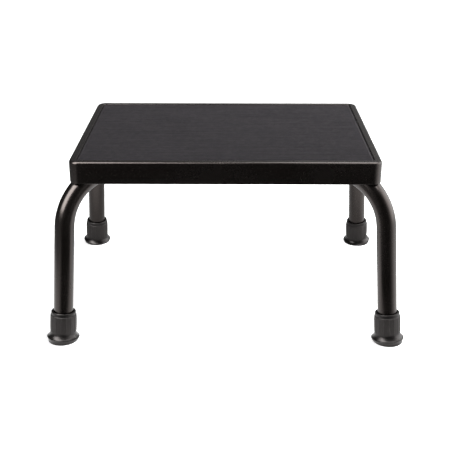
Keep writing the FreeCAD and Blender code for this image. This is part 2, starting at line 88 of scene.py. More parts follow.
def colour(name, note, red, green, blue):
    return FloatVectorProperty(name=name, description=note, default=(red, green, blue, 1.0), size=4,
                               min=0.0, max=1.0, subtype="COLOR")


class StoolSizes(bpy.types.PropertyGroup):
    """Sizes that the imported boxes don't give."""
    sheet: length("Pan sheet", "Steel of the pan", 0.0012)
    rim_width: length("Rim width", "Outside of the skirt to the edge of the recess", 0.0095)
    recess_drop: length("Recess drop", "Top of the rim to the floor of the recess", 0.0022)
    corner_radius: length("Corner radius", "Upright corners of the pan, outside", 0.0127)
    rim_round: length("Rim round", "Outer rounding of the rim", 0.0032)
    rim_inner_round: length("Rim inner round", "Rounding where the rim drops into the recess", 0.0008)
    skirt_round: length("Skirt round", "Rounding at the foot of the skirt", 0.0009)
    lip_width: length("Lip width", "Return lip at the foot of the skirt", 0.008)
    lip_gap: length("Lip gap", "Stretch without a lip, from the outside of each corner", 0.052)
    mat_corner: length("Tread corner", "Corner radius of the tread", 0.004)
    mat_gap: length("Tread gap", "Gap between the tread and the rim", 0.0014)
    mat_border: length("Tread border", "Plain border round the ribs", 0.0020)
    rib_pitch: length("Rib pitch", "Spacing of the tread's ribs", 0.003)
    rib_width: length("Rib width", "Width of a rib", 0.0017)
    rib_height: length("Rib height", "Height of a rib", 0.0008)
    tube_radius: length("Tube radius", "Outside radius of the leg tube", 0.0127)
    tube_wall: length("Tube wall", "Wall of the leg tube", 0.0015)
    bend_radius: length("Bend radius", "Bend of a leg, on its centre line", 0.070)
    bend_squash: share("Bend squash", "How much a bend is pinched towards its centre", 0.025)
    lean_x: angle("Lean along X", "Splay of a leg along the platform", 3.4)
    lean_y: angle("Lean along Y", "Splay of a leg towards the front or rear", 6.3)
    disc_steel: length("Disc steel", "Steel disc inside a tip", 0.0016)
    cope_gap: length("Cope gap", "Gap between a coped end and the crossing tube", 0.0001)
    weld_radius: length("Weld radius", "Radius of the weld bead", 0.0026)
    weld_ripple: length("Weld ripple", "Spacing of the ripples of the bead", 0.0019)
    tip_floor: length("Tip floor", "Rubber below the steel disc", 0.008)
    tip_height: length("Tip height", "Rubber tip, along the leg", 0.040)
    tip_wall: length("Tip wall", "Rubber round the tube", 0.0041)
    tip_collar_wall: length("Tip collar wall", "Rubber round the tube at the mouth", 0.0033)
    tip_collar: length("Tip collar", "Height of the thinner collar at the mouth", 0.0045)
    flare_radius: length("Flare radius", "Widest part of the foot flare", 0.0212)
    flare_height: length("Flare height", "Floor to the widest part of the flare", 0.0042)
    flare_top: length("Flare top", "Floor to the top of the flare", 0.0115)
    flare_curve: length("Flare curve", "Radius of the hollow side of the flare", 0.012)
    contact_radius: length("Contact radius", "Foot of the tip on the floor", 0.0197)
    flute_height: length("Flute height", "How proud the barrel's upright ribs stand", 0.00045)
    flutes: IntProperty(name="Flutes", description="Upright ribs round a tip", default=16, min=4)
    hat_crown: length("Hat crown", "Width of a stiffener's crown, outside", 0.034)
    hat_steel: length("Hat steel", "Steel of a stiffener", 0.0015)
    bolt_radius: length("Bolt radius", "Bolt shank", 0.003)
    bolt_clearance: length("Bolt clearance", "Bolt shank to the sides of its holes", 0.0003)
    head_across: length("Head across flats", "Hexagon of the bolt head", 0.010)
    head_height: length("Head height", "Height of the bolt head", 0.004)
    washer_radius: length("Washer radius", "Saddle washer", 0.008)


class StoolColours(bpy.types.PropertyGroup):
    """Colours of the finishes and the floor."""
    coat: colour("Coat", "Powder coat", 0.0019, 0.0015, 0.0012)
    coat_light: colour("Thin coat", "Powder coat where it is thin or rubbed", 0.0029, 0.0024, 0.0021)
    tread: colour("Tread", "Tread rubber", 0.0148, 0.0136, 0.0152)
    tread_light: colour("Tread bloom", "Tread rubber where it has bloomed", 0.0222, 0.0204, 0.0226)
    tip: colour("Tip", "Tip rubber", 0.0092, 0.0081, 0.0078)
    tip_light: colour("Tip bloom", "Tip rubber where it has bloomed", 0.0140, 0.0126, 0.0121)
    dust: colour("Dust", "Fine dust on what faces up", 0.11, 0.105, 0.10)
    zinc: colour("Zinc", "Bright zinc plate", 0.52, 0.53, 0.53)
    zinc_dull: colour("Dull zinc", "Zinc plate that has dulled", 0.33, 0.34, 0.35)
    floor: colour("Floor", "Studio floor", 0.86, 0.86, 0.86)


def sizes():
    return bpy.context.scene.stool_sizes


def colours():
    return bpy.context.scene.stool_colours


# --- layout of the legs ---

def run_height():
    """Centre of the tubes under the deck, which touch the stiffeners."""
    return HAT_LOW.z - sizes().tube_radius


def middle_of(node):
    low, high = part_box(node)
    return (low + high) / 2


def leg_up(corner):
    """Unit vector up the leg, which leans in towards the middle."""
    side_x, side_y = CORNERS[corner]
    return Vector((-side_x * math.tan(sizes().lean_x), -side_y * math.tan(sizes().lean_y), 1)).normalized()


def on_leg(corner, height):
    """The point of a leg's centre line at one height, through the steel disc in its tip."""
    up = leg_up(corner)
    disc = middle_of(f"tip_disc_{corner}")
    return disc + up * ((height - disc.z) / up.z)


def leg_foot(corner):
    return on_leg(corner, 0.0)


def run_inward(corner):
    """Unit vector from a leg's virtual corner to the middle of the deck."""
    meeting = on_leg(corner, run_height())
    return Vector((-meeting.x, -meeting.y, 0)).normalized()


def blend_step(low, high, value):
    part = min(1.0, max(0.0, (value - low) / (high - low)))
    return part * part * (3 - 2 * part)


def bend_path(corner):
    """Centre line of a leg from its foot to the run: a (point, pinch, towards the bend's centre) list."""
    s = sizes()
    up = leg_up(corner)
    inward = run_inward(corner)
    meeting = on_leg(corner, run_height())
    turn = up.angle(inward)
    tangent = s.bend_radius * math.tan(turn / 2)
    to_centre = (inward - up * inward.dot(up)).normalized()
    low = meeting - up * tangent
    centre = low + to_centre * s.bend_radius
    axis = up.cross(to_centre)
    foot = leg_foot(corner)
    start = (middle_of(f"tip_disc_{corner}") - foot).length + s.disc_steel / 2
    straight = (low - foot).length - start
    path = [(foot + up * (start + straight * step / UPRIGHT_STEPS), 0.0, to_centre)
            for step in range(UPRIGHT_STEPS + 1)]
    for step in range(1, BEND_STEPS + 1):
        part = step / BEND_STEPS
        spin = Matrix.Rotation(turn * part, 4, axis)
        pinch = blend_step(0.0, 1.0, 4 * min(part, 1 - part))
        path.append((centre + spin @ (low - centre), pinch, spin @ to_centre))
    return path


# --- mesh tools ---

def new_object(name, data):
    made = bpy.data.objects.new(name, data)
    bpy.context.scene.collection.objects.link(made)
    return made


def new_piece(name, bm, material, slot, *nodes, weighted=False):
    """Finish a bmesh as a piece that stands for some CAD nodes."""
    bmesh.ops.recalc_face_normals(bm, faces=bm.faces)
    mesh = bpy.data.meshes.new(name)
    bm.to_mesh(mesh)
    bm.free()
    mesh.shade_smooth()
    mesh.set_sharp_from_angle(angle=SMOOTH_ANGLE)
    mesh.materials.append(material)
    piece = new_object(name, mesh)
    if weighted:
        normals = piece.modifiers.new("Flat faces lead", "WEIGHTED_NORMAL")
        normals.keep_sharp = True
        normals.weight = FLAT_WEIGHT
    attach(piece, BODY)
    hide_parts(*nodes)
    return piece


def unique(items):
    """Each item once, in the order they came."""
    return list(dict.fromkeys(items))


def verts_in(geom):
    return [item for item in geom if isinstance(item, bmesh.types.BMVert)]


def bevel(bm, geom, offset, segments, affect="EDGES"):
    bmesh.ops.bevel(bm, geom=geom, offset=offset, segments=segments, profile=0.5, affect=affect,
                    material=-1)


def place(ring, points):
    for vert, point in zip(ring, points):
        vert.co = point


def first_ring(bm, points):
    """A closed ring of vertices on the given points."""
    ring = bmesh.ops.create_circle(bm, segments=len(points), radius=0.01)["verts"]
    place(ring, points)
    return ring


def ring_edges(bm, ring):
    return [bm.edges.get((vert, after)) for vert, after in zip(ring, ring[1:] + ring[:1])]


def next_ring(bm, ring, points):
    """Extrude a closed ring of vertices and put the copy on the given points."""
    fresh = set(verts_in(bmesh.ops.extrude_edge_only(bm, edges=ring_edges(bm, ring))["geom"]))
    copy = [next(edge.other_vert(vert) for edge in vert.link_edges if edge.other_vert(vert) in fresh)
            for vert in ring]
    place(copy, points)
    return copy


def loop_verts(edges):
    """The vertices of a closed loop of edges, in order from its first edge."""
    first, *others = edges
    left = set(others)
    ring = list(first.verts)
    while left:
        edge = next(item for item in ring[-1].link_edges if item in left)
        left.discard(edge)
        ring.append(edge.other_vert(ring[-1]))
    return ring[:-1]


def loft(bm, outlines, cap_first=False, cap_last=False, close=False):
    """A skin through outlines that all have the same number of points."""
    ring = first = first_ring(bm, outlines[0])
    if cap_first:
        bm.faces.new(ring)
    for points in outlines[1:]:
        ring = next_ring(bm, ring, points)
    if cap_last:
        bm.faces.new(ring)
    if close:
        bmesh.ops.bridge_loops(bm, edges=ring_edges(bm, first) + ring_edges(bm, ring))


def rounded_outline(half_x, half_y, radius, height, steps=10):
    """Points round a rectangle with round corners."""
    points = []
    for quarter, (side_x, side_y) in enumerate(((1, 1), (-1, 1), (-1, -1), (1, -1))):
        for step in range(steps + 1):
            turn = math.radians(90) * (quarter + step / steps)
            points.append(Vector((side_x * (half_x - radius) + radius * math.cos(turn),
                                  side_y * (half_y - radius) + radius * math.sin(turn), height)))
    return points


def round_ring(centre, across, upward, radius, count, pinch=0.0):
    """Points round a circle; the first axis may be pinched and the other swells a little."""
    points = []
    for step in range(count):
        turn = 2 * math.pi * step / count
        points.append(centre + across * (radius * (1 - pinch) * math.cos(turn))
                      + upward * (radius * (1 + pinch / 3) * math.sin(turn)))
    return points


def arc(centre, radius, first, last, steps):
    """Flat points on an arc, with angles in degrees."""
    points = []
    for step in range(steps + 1):
        turn = math.radians(first + (last - first) * step / steps)
        points.append((centre[0] + radius * math.cos(turn), centre[1] + radius * math.sin(turn)))
    return points


# --- shader tools ---

class Tree:
    """Adds and joins nodes with few words."""

    def __init__(self, tree):
        self.tree = tree

    def add(self, kind, settings=None, **sockets):
        node = self.tree.nodes.new(kind)
        for name, value in (settings or {}).items():
            setattr(node, name, value)
        for name, value in sockets.items():
            self.put(node.inputs[int(name[1:]) if name[1:].isdigit() else name.replace("_", " ")], value)
        return node

    def put(self, socket, value):
        if isinstance(value, bpy.types.NodeSocket):
            self.tree.links.new(value, socket)
        else:
            socket.default_value = value

    def math(self, operation, first, second, clamp=False):
        node = self.add("ShaderNodeMath", {"operation": operation, "use_clamp": clamp}, i0=first, i1=second)
        return node.outputs[0]

    def plus(self, first, second, clamp=False):
        return self.math("ADD", first, second, clamp)

    def minus(self, first, second):
        return self.math("SUBTRACT", first, second)

    def times(self, first, second, clamp=False):
        return self.math("MULTIPLY", first, second, clamp)

    def larger(self, first, second):
        return self.math("MAXIMUM", first, second)

    def between(self, value, low, high, to_low=0.0, to_high=1.0):
        node = self.add("ShaderNodeMapRange", {"interpolation_type": "SMOOTHSTEP"}, Value=value,
                        From_Min=low, From_Max=high, To_Min=to_low, To_Max=to_high)
        return node.outputs["Result"]

    def mix(self, factor, first, second):
        node = self.add("ShaderNodeMix", {"data_type": "RGBA"})
        self.put(node.inputs["Factor"], factor)
        self.put(node.inputs[6], first)
        self.put(node.inputs[7], second)
        return node.outputs[2]

    def noise(self, vector, scale, detail=3.0, roughness=0.5):
        node = self.add("ShaderNodeTexNoise", Vector=vector, Scale=scale, Detail=detail,
                        Roughness=roughness)
        return node.outputs["Fac"]


def make_group(name, takes, gives, build):
    """A node group made once; takes and gives list its sockets."""
    group = bpy.data.node_groups.get(name)
    if group:
        return group
    group = bpy.data.node_groups.new(name, "ShaderNodeTree")
    for label, kind, value in takes:
        socket = group.interface.new_socket(name=label, in_out="INPUT", socket_type=kind)
        if value is not None:
            socket.default_value = value
    for label, kind in gives:
        group.interface.new_socket(name=label, in_out="OUTPUT", socket_type=kind)
    tree = Tree(group)
    entry = group.nodes.new("NodeGroupInput")
    leave = group.nodes.new("NodeGroupOutput")
    for label, socket in build(tree, entry.outputs).items():
        group.links.new(socket, leave.inputs[label])
    return group


def orange_peel_group():
    """The skin of a powder coat: gentle peel, fine pimples and slow changes of gloss and depth."""
    def build(tree, given):
        scale = given["Scale"]
        peel = tree.noise(given["Vector"], scale, 1.0, 0.4)
        pimples = tree.noise(given["Vector"], tree.times(scale, 3.1), 2.0, 0.6)
        height = tree.plus(peel, tree.times(pimples, 0.25))
        drift = tree.noise(given["Vector"], 19.0, 4.0, 0.6)
        specks = tree.noise(given["Vector"], 900.0, 1.0, 0.5)
        return {"Height": height,
                "Gloss": tree.between(drift, 0.3, 0.72),
                "Specks": tree.between(specks, 0.66, 0.78)}
    return make_group("Powder coat skin",
                      [("Vector", VECTOR, None), ("Scale", FLOAT, 420.0)],
                      [("Height", FLOAT), ("Gloss", FLOAT), ("Specks", FLOAT)], build)


def rubber_grain_group():
    """Moulded rubber: fine grain, a patchy bloom and scuffs drawn out along one axis."""
    def build(tree, given):
        grain = tree.noise(given["Vector"], given["Grain scale"], 3.0, 0.65)
        cells = tree.add("ShaderNodeTexVoronoi", {"feature": "F1"}, Vector=given["Vector"],
                         Scale=tree.times(given["Grain scale"], 0.45))
        height = tree.plus(grain, tree.times(cells.outputs["Distance"], 0.5))
        bloom = tree.noise(given["Vector"], 26.0, 5.0, 0.62)
        stretch = tree.add("ShaderNodeMapping", Vector=given["Vector"], Scale=given["Scuff stretch"])
        scuffs = tree.noise(stretch.outputs["Vector"], 60.0, 3.0, 0.6)
        return {"Height": height,
                "Bloom": tree.between(bloom, 0.32, 0.7),
                "Scuffs": tree.between(scuffs, 0.58, 0.74)}
    return make_group("Rubber grain",
                      [("Vector", VECTOR, None), ("Grain scale", FLOAT, 1400.0),
                       ("Scuff stretch", VECTOR, (1.0, 8.0, 8.0))],
                      [("Height", FLOAT), ("Bloom", FLOAT), ("Scuffs", FLOAT)], build)


def dust_group():
    """A mask for the fine dust that settles on what faces up."""
    def build(tree, given):
        normal = tree.add("ShaderNodeNewGeometry").outputs["Normal"]
        upward = tree.add("ShaderNodeSeparateXYZ", Vector=normal).outputs["Z"]
        lies = tree.between(upward, 0.45, 0.98)
        patch = tree.between(tree.noise(given["Vector"], 34.0, 6.0, 0.7), 0.42, 0.8)
        motes = tree.between(tree.noise(given["Vector"], 1100.0, 1.0, 0.5), 0.62, 0.8)
        cover = tree.plus(tree.times(patch, 0.35), tree.times(motes, 0.5))
        mask = tree.times(tree.times(lies, cover), given["Amount"], clamp=True)
        return {"Mask": mask}
    return make_group("Settled dust",
                      [("Vector", VECTOR, None), ("Amount", FLOAT, 0.2)],
                      [("Mask", FLOAT)], build)


def edge_wear_group():
    """A mask for edges rubbed by use: the outward curved places, broken up by noise."""
    def build(tree, given):
        point = tree.add("ShaderNodeNewGeometry").outputs["Pointiness"]
        edge = tree.between(point, given["From"], given["To"])
        broken = tree.between(tree.noise(given["Vector"], 140.0, 5.0, 0.7), 0.40, 0.66)
        return {"Mask": tree.times(tree.times(edge, broken), given["Amount"], clamp=True)}
    return make_group("Edge wear",
                      [("Vector", VECTOR, None), ("From", FLOAT, 0.53),
                       ("To", FLOAT, 0.60), ("Amount", FLOAT, 0.5)],
                      [("Mask", FLOAT)], build)


def new_material(name):
    """A material with an empty tree but for its output and its Principled shader."""
    material = bpy.data.materials.get(name)
    if material:
        return material, None, None, None
    material = bpy.data.materials.new(name)
    material.use_nodes = True
    material.node_tree.nodes.clear()
    tree = Tree(material.node_tree)
    shader = tree.add("ShaderNodeBsdfPrincipled")
    tree.add("ShaderNodeOutputMaterial", Surface=shader.outputs["BSDF"])
    place_on = tree.add("ShaderNodeTexCoord").outputs["Object"]
    return material, tree, shader, place_on


def use_group(tree, group, **sockets):
    return tree.add("ShaderNodeGroup", {"node_tree": group}, **sockets).outputs


def weathering(tree, vector, wear, dust):
    """Masks for rubbed edges and settled dust."""
    worn = use_group(tree, edge_wear_group(), Vector=vector, Amount=wear)["Mask"]
    dusty = use_group(tree, dust_group(), Vector=vector, Amount=dust)["Mask"]
    return worn, dusty


def finish(tree, shader, height, depth, **sockets):
    """Set the shader's own sockets and bump its normal by a height, depth in metres."""
    for name, value in sockets.items():
        tree.put(shader.inputs[name.replace("_", " ")], value)
    node = tree.add("ShaderNodeBump", Height=height, Distance=depth, Strength=1.0)
    tree.put(shader.inputs["Normal"], node.outputs["Normal"])


def coat_material(name, roughness, gloss_swing, peel_scale, peel_depth, wear, dust):
    """Satin black powder coat over steel."""
    material, tree, shader, vector = new_material(name)
    if not tree:
        return material
    paint = colours()
    skin = use_group(tree, orange_peel_group(), Vector=vector, Scale=peel_scale)
    worn, dusty = weathering(tree, vector, wear, dust)
    tone = tree.mix(skin["Gloss"], paint.coat, paint.coat_light)
    tone = tree.mix(worn, tone, (0.012, 0.0105, 0.0098, 1.0))
    tone = tree.mix(dusty, tone, paint.dust)
    rough = tree.between(skin["Gloss"], 0.0, 1.0, roughness - gloss_swing, roughness + gloss_swing)
    rough = tree.plus(rough, tree.times(skin["Specks"], 0.04))
    rough = tree.minus(rough, tree.times(worn, 0.08))
    rough = tree.plus(rough, tree.times(dusty, 0.5), clamp=True)
    finish(tree, shader, skin["Height"], peel_depth, Base_Color=tone, Roughness=rough, IOR=1.55,
           Specular_Tint=(1.0, 0.87, 0.82, 1.0))
    return material


def tread_material():
    """Matt moulded rubber of the ribbed tread."""
    material, tree, shader, vector = new_material("Tread rubber")
    if not tree:
        return material
    paint = colours()
    grain = use_group(tree, rubber_grain_group(), Vector=vector, Grain_scale=1500.0,
                      Scuff_stretch=(1.0, 9.0, 9.0))
    worn, dusty = weathering(tree, vector, wear=0.35, dust=0.10)
    drawn = tree.add("ShaderNodeMapping", Vector=vector, Scale=(0.8, 30.0, 1.0)).outputs["Vector"]
    lines = tree.between(tree.noise(drawn, 9.0, 2.0, 0.5), 0.34, 0.66)
    bloom = tree.plus(tree.times(lines, 0.75), tree.times(grain["Bloom"], 0.25))
    tone = tree.mix(bloom, paint.tread, paint.tread_light)
    tone = tree.mix(tree.times(grain["Scuffs"], 0.18), tone, (0.038, 0.036, 0.039, 1.0))
    tone = tree.mix(worn, tone, (0.045, 0.044, 0.046, 1.0))
    tone = tree.mix(dusty, tone, paint.dust)
    rough = tree.between(grain["Bloom"], 0.0, 1.0, 0.70, 0.78)
    rough = tree.minus(rough, tree.times(grain["Scuffs"], 0.06))
    finish(tree, shader, grain["Height"], 0.00006, Base_Color=tone, Roughness=rough, IOR=1.25,
           Specular_Tint=(1.0, 0.93, 1.0, 1.0))
    return material


def tip_material():
    """Rubber tip: matt barrel, smooth glossier flare, and a collar at the mouth painted near black as
    painted shade round the tube.
    """
    material, tree, shader, vector = new_material("Tip rubber")
    if not tree:
        return material
    paint = colours()
    grain = use_group(tree, rubber_grain_group(), Vector=vector, Grain_scale=1700.0,
                      Scuff_stretch=(7.0, 7.0, 1.0))
    worn, dusty = weathering(tree, vector, wear=0.45, dust=0.25)
    zone = tree.add("ShaderNodeAttribute", {"attribute_name": "zone"})
    parts = tree.add("ShaderNodeSeparateColor", Color=zone.outputs["Color"]).outputs
    flare, collar = parts["Red"], parts["Green"]
    tone = tree.mix(grain["Bloom"], paint.tip, paint.tip_light)
    tone = tree.mix(tree.times(grain["Scuffs"], 0.3), tone, (0.045, 0.042, 0.041, 1.0))
    tone = tree.mix(worn, tone, (0.050, 0.047, 0.046, 1.0))
    tone = tree.mix(flare, tone, (0.0042, 0.0038, 0.0037, 1.0))
    # painted shade: the collar at the mouth gets a near-black colour that stands in for the shade round the
    # tube's mouth
    tone = tree.mix(collar, tone, (0.0035, 0.0032, 0.003, 1.0))
    tone = tree.mix(dusty, tone, paint.dust)
    matt = tree.between(grain["Bloom"], 0.0, 1.0, 0.52, 0.64)
    matt = tree.minus(matt, tree.times(flare, 0.26))
    matt = tree.minus(matt, tree.times(collar, 0.16))
    finish(tree, shader, grain["Height"], 0.00005, Base_Color=tone, Roughness=matt, IOR=1.41,
           Specular_Tint=(1.0, 0.93, 0.91, 1.0))
    return material


def zinc_material():
    """Bright zinc plate with a dull spangle and faint turning marks."""
    material, tree, shader, vector = new_material("Zinc plate")
    if not tree:
        return material
    paint = colours()
    spangle = tree.add("ShaderNodeTexVoronoi", {"feature": "F1"}, Vector=vector, Scale=900.0)
    cell = tree.add("ShaderNodeSeparateColor", Color=spangle.outputs["Color"]).outputs["Red"]
    drift = tree.between(tree.noise(vector, 160.0, 4.0, 0.6), 0.3, 0.7)
    worn = use_group(tree, edge_wear_group(), Vector=vector, Amount=0.6)["Mask"]
    dull = tree.plus(tree.times(cell, 0.35), tree.times(drift, 0.5), clamp=True)
    tone = tree.mix(dull, paint.zinc, paint.zinc_dull)
    tone = tree.mix(worn, tone, (0.64, 0.65, 0.66, 1.0))
    rough = tree.between(dull, 0.0, 1.0, 0.26, 0.44)
    drawn = tree.add("ShaderNodeMapping", Vector=vector, Scale=(1.0, 1.0, 14.0)).outputs["Vector"]
    turned = tree.add("ShaderNodeTexNoise", Vector=drawn, Scale=420.0).outputs["Fac"]
    finish(tree, shader, turned, 0.00002, Base_Color=tone, Roughness=rough, Metallic=1.0)
    return material


def pan_coat():
    return coat_material("Pan powder coat", roughness=0.26, gloss_swing=0.02, peel_scale=520.0,
                         peel_depth=0.000004, wear=0.12, dust=0.03)


def tube_coat():
    return coat_material("Tube powder coat", roughness=0.25, gloss_swing=0.025, peel_scale=600.0,
                         peel_depth=0.000005, wear=0.20, dust=0.04)


def weld_coat():
    return coat_material("Weld powder coat", roughness=0.33, gloss_swing=0.07, peel_scale=900.0,
                         peel_depth=0.000030, wear=0.45, dust=0.05)


def stiffener_coat():
    return coat_material("Stiffener powder coat", roughness=0.36, gloss_swing=0.07, peel_scale=560.0,
                         peel_depth=0.000016, wear=0.30, dust=0.05)


# --- pan and tread ---

def pan_rows():
    """The pan's wall from the middle of the recess out, over the rim, down the skirt and back inside."""
    s = sizes()
    top = PAN_HIGH.z
    foot = PAN_LOW.z
    recess = top - s.recess_drop
    recess_corner = s.mat_corner + s.mat_gap
    fillet = 0.0004
    edge_break = 0.0001
    fold_break = 0.0003
    rows = []
    for out, up in arc((s.rim_width + fillet, recess + fillet), fillet, 270, 180, 3):
        rows.append((out, up, recess_corner - (out - s.rim_width)))
    inner = s.rim_width - s.rim_inner_round
    for out, up in arc((inner, top - s.rim_inner_round), s.rim_inner_round, 0, 90, 5):
        rows.append((out, up, recess_corner + s.rim_width - out))
    for out, up in arc((s.rim_round, top - s.rim_round), s.rim_round, 90, 180, 10):
        rows.append((out, up, s.corner_radius - out))
    for step in range(1, 6):
        up = top - s.rim_round - (top - s.rim_round - foot - s.skirt_round) * step / 6
        rows.append((0.0, up, s.corner_radius))
    for out, up in arc((s.skirt_round, foot + s.skirt_round), s.skirt_round, 180, 270, 5):
        rows.append((out, up, s.corner_radius - out))
    rows.append((s.sheet - edge_break, foot, s.corner_radius - s.sheet))
    rows.append((s.sheet, foot + edge_break, s.corner_radius - s.sheet))
    under = top - s.sheet
    for step in range(1, 5):
        rows.append((s.sheet, foot + (under - s.rim_round + s.sheet - foot) * step / 5,
                     s.corner_radius - s.sheet))
    inner_round = s.rim_round - s.sheet
    for out, up in arc((s.rim_round, under - inner_round), inner_round, 180, 90, 5):
        rows.append((out, up, s.corner_radius - out))
    tray = s.rim_width - s.sheet
    tray_corner = recess_corner + s.sheet
    rows.append((tray - fold_break, under, tray_corner + fold_break))
    rows.append((tray, under - fold_break, tray_corner))
    tray_foot = recess - s.sheet
    tray_round = 0.0012
    for out, up in arc((tray + tray_round, tray_foot + tray_round), tray_round, 180, 270, 4):
        rows.append((out, up, tray_corner - (out - tray)))
    return rows


def add_lip(bm, half_length, edge, along_x, side):
    """One return lip of the skirt: a strip with notched corners at its inner edge."""
    steel = sizes().sheet
    outer = edge - steel * 0.5
    inner = edge - (steel + sizes().lip_width)
    notch = (outer - inner) * 0.6
    outline = [(-half_length, outer), (half_length, outer), (half_length, inner + notch),
               (half_length - notch, inner), (notch - half_length, inner), (-half_length, inner + notch)]
    if along_x:
        corners = [Vector((along, side * across, PAN_LOW.z)) for along, across in outline]
    else:
        corners = [Vector((side * across, along, PAN_LOW.z)) for along, across in outline]
    ring = first_ring(bm, corners)
    face = bm.faces.new(ring)
    fresh = verts_in(bmesh.ops.extrude_face_region(bm, geom=[face])["geom"])
    bmesh.ops.translate(bm, verts=fresh, vec=UP * steel)
    bevel(bm, unique(edge for vert in [*ring, *fresh] for edge in vert.link_edges), steel * 0.18, 2)


def build_platform():
    bm = bmesh.new()
    outlines = [rounded_outline(PAN_HIGH.x - out, PAN_HIGH.y - out, corner, up)
                for out, up, corner in pan_rows()]
    loft(bm, outlines, cap_first=True, cap_last=True)
    gap = sizes().lip_gap
    for side in (-1, 1):
        add_lip(bm, PAN_HIGH.x - gap, PAN_HIGH.y, along_x=True, side=side)
        add_lip(bm, PAN_HIGH.y - gap, PAN_HIGH.x, along_x=False, side=side)
    new_piece("platform_shell", bm, pan_coat(), "pan_coat", "platform_pan", weighted=True)


def build_tread():
    s = sizes()
    bm = bmesh.new()
    slab_top = MAT_HIGH.z - s.rib_height
    edge_round = 0.0005
    foot_break = 0.0003
    rows = [(foot_break, MAT_LOW.z), (0.0, MAT_LOW.z + foot_break)]
    rows += arc((edge_round, slab_top - edge_round), edge_round, 180, 90, 4)
    rows.append((s.mat_border * 0.6, slab_top))
    sharpest = s.mat_corner - 0.003
    outlines = [rounded_outline(MAT_HIGH.x - inset, MAT_HIGH.y - inset,
                                max(s.mat_corner - inset, sharpest), up) for inset, up in rows]
    loft(bm, outlines, cap_first=True, cap_last=True)
    slab = set(bm.faces)
    field_x = MAT_HIGH.x - s.mat_border
    field_y = 2 * (MAT_HIGH.y - s.mat_border)
    count = int((field_y - s.rib_width) / s.rib_pitch + 1e-6) + 1
    sunk = 0.0002
    rib = bmesh.ops.create_cube(bm, size=1.0)["verts"]
    bmesh.ops.scale(bm, verts=rib, vec=(2 * field_x, s.rib_width, s.rib_height + sunk))
    bmesh.ops.translate(bm, verts=rib, vec=(0, -(count - 1) * s.rib_pitch / 2,
                                            MAT_HIGH.z - (s.rib_height + sunk) / 2))
    crest = [edge for edge in unique(edge for vert in rib for edge in vert.link_edges)
             if all(vert.co.z > slab_top + sunk for vert in edge.verts)]
    bevel(bm, crest, s.rib_width * 0.3, 3)
    first_rib = [face for face in bm.faces if face not in slab]
    geom = unique(item for face in first_rib for item in (face, *face.edges, *face.verts))
    for number in range(1, count):
        copy = verts_in(bmesh.ops.duplicate(bm, geom=geom)["geom"])
        bmesh.ops.translate(bm, verts=copy, vec=(0, number * s.rib_pitch, 0))
    new_piece("tread_ribbed", bm, tread_material(), "tread_rubber", "tread_mat", weighted=True)


# --- legs and weld ---

def carried_frames(path):
    """Turn (point, pinch, to centre) rows into rings' axes, carried along the path without a twist."""
    frames = []
    side = None
    for number, (point, pinch, to_centre) in enumerate(path):
        before = path[max(number - 1, 0)][0]
        after = path[min(number + 1, len(path) - 1)][0]
        along = (after - before).normalized()
        side = to_centre if side is None else side
        side = (side - along * side.dot(along)).normalized()
        frames.append((point, along, side, pinch))
    return frames


def tube_outlines(path, count=48):
    s = sizes()
    return [round_ring(point, side, along.cross(side), s.tube_radius, count, pinch * s.bend_squash)
            for point, along, side, pinch in carried_frames(path)]


def coped_end(corner, outline):
    """Slide the last ring's points along the run until they meet the crossing tube."""
    inward = run_inward(corner)
    crossing = run_inward(WHOLE_DIAGONAL[0])
    across = UP.cross(crossing)
    radius = sizes().tube_radius + sizes().cope_gap
    level = run_height()
    points = []
    for point in outline:
        rise = point.z - level
        gap = math.sqrt(max(radius * radius - rise * rise, 0.0))
        pace = inward.dot(across)
        reach = Vector((point.x, point.y, 0)).dot(across)
        slide = (-math.copysign(gap, pace) - reach) / pace
        points.append(point + inward * slide)
    return points


def add_wall(piece):
    """The tube's wall, inward from its skin."""
    wall = piece.modifiers.new("Tube wall", "SOLIDIFY")
    wall.thickness = sizes().tube_wall
    wall.offset = -1.0
    wall.use_even_offset = True


def build_legs():
    first, last = WHOLE_DIAGONAL
    path = bend_path(first)
    other = bend_path(last)[::-1]
    start, end = path[-1][0], other[0][0]
    run = [(start.lerp(end, step / RUN_STEPS), 0.0, -UP) for step in range(1, RUN_STEPS)]
    whole = f"leg_tube_{first}_to_{last}"
    bm = bmesh.new()
    loft(bm, tube_outlines(path + run + other))
    add_wall(new_piece("leg_whole_" + first + "_" + last, bm, tube_coat(), "tube_coat", whole))
    middle = Vector((0, 0, run_height()))
    short_by = 2.4 * sizes().tube_radius
    for corner in COPED_CORNERS:
        path = bend_path(corner)
        start = path[-1][0]
        reach = 1 - short_by / (middle - start).length
        path += [(start.lerp(middle, reach * step / HALF_RUN_STEPS), 0.0, -UP)
                 for step in range(1, HALF_RUN_STEPS + 1)]
        outlines = tube_outlines(path)
        outlines.append(coped_end(corner, outlines[-1]))
        bm = bmesh.new()
        loft(bm, outlines)
        add_wall(new_piece("leg_coped_" + corner, bm, tube_coat(), "tube_coat", f"leg_tube_{corner}"))


